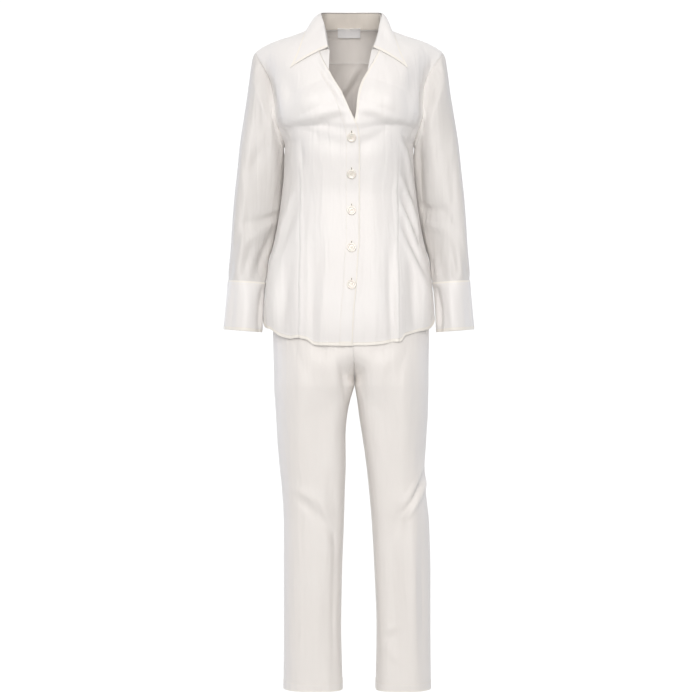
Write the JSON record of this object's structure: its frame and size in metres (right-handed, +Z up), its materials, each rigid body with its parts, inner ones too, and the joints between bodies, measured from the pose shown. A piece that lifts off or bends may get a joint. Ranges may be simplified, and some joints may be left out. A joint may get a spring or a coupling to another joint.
{
  "type": "pyjama set",
  "caption": "Fitted satin shirt with a pointed collar, open neck, waist darts and deep flared cuffs, over straight ankle-length trousers, both hollow as worn.",
  "frame": {"origin": "between the wearer's shoulders, a little below the neck seam, where the wearer carries the shirt", "axes": "+Z up, the front faces -Y, the wearer's left is +X"},
  "size_m": [0.547, 0.2592, 1.492],
  "materials": {
    "satin": "satin",
    "shell": "gloss",
    "ribbon": "matte"
  },
  "bodies": {
    "root": {"shirt_front_right": "satin", "shirt_front_left": "satin", "shirt_buttonhole_band": "satin", "shirt_back": "satin", "shirt_yoke": "satin", "collar_stand": "satin", "collar_leaf": "satin", "neck_label": "ribbon", "sleeve_left": "satin", "sleeve_right": "satin", "cuff_left": "satin", "cuff_right": "satin", "button_1": "shell", "button_2": "shell", "button_3": "shell", "button_4": "shell", "button_5": "shell", "trouser_front_left": "satin", "trouser_front_right": "satin", "trouser_back_left": "satin", "trouser_back_right": "satin", "trouser_waistband": "satin"}
  },
  "joints": []
}
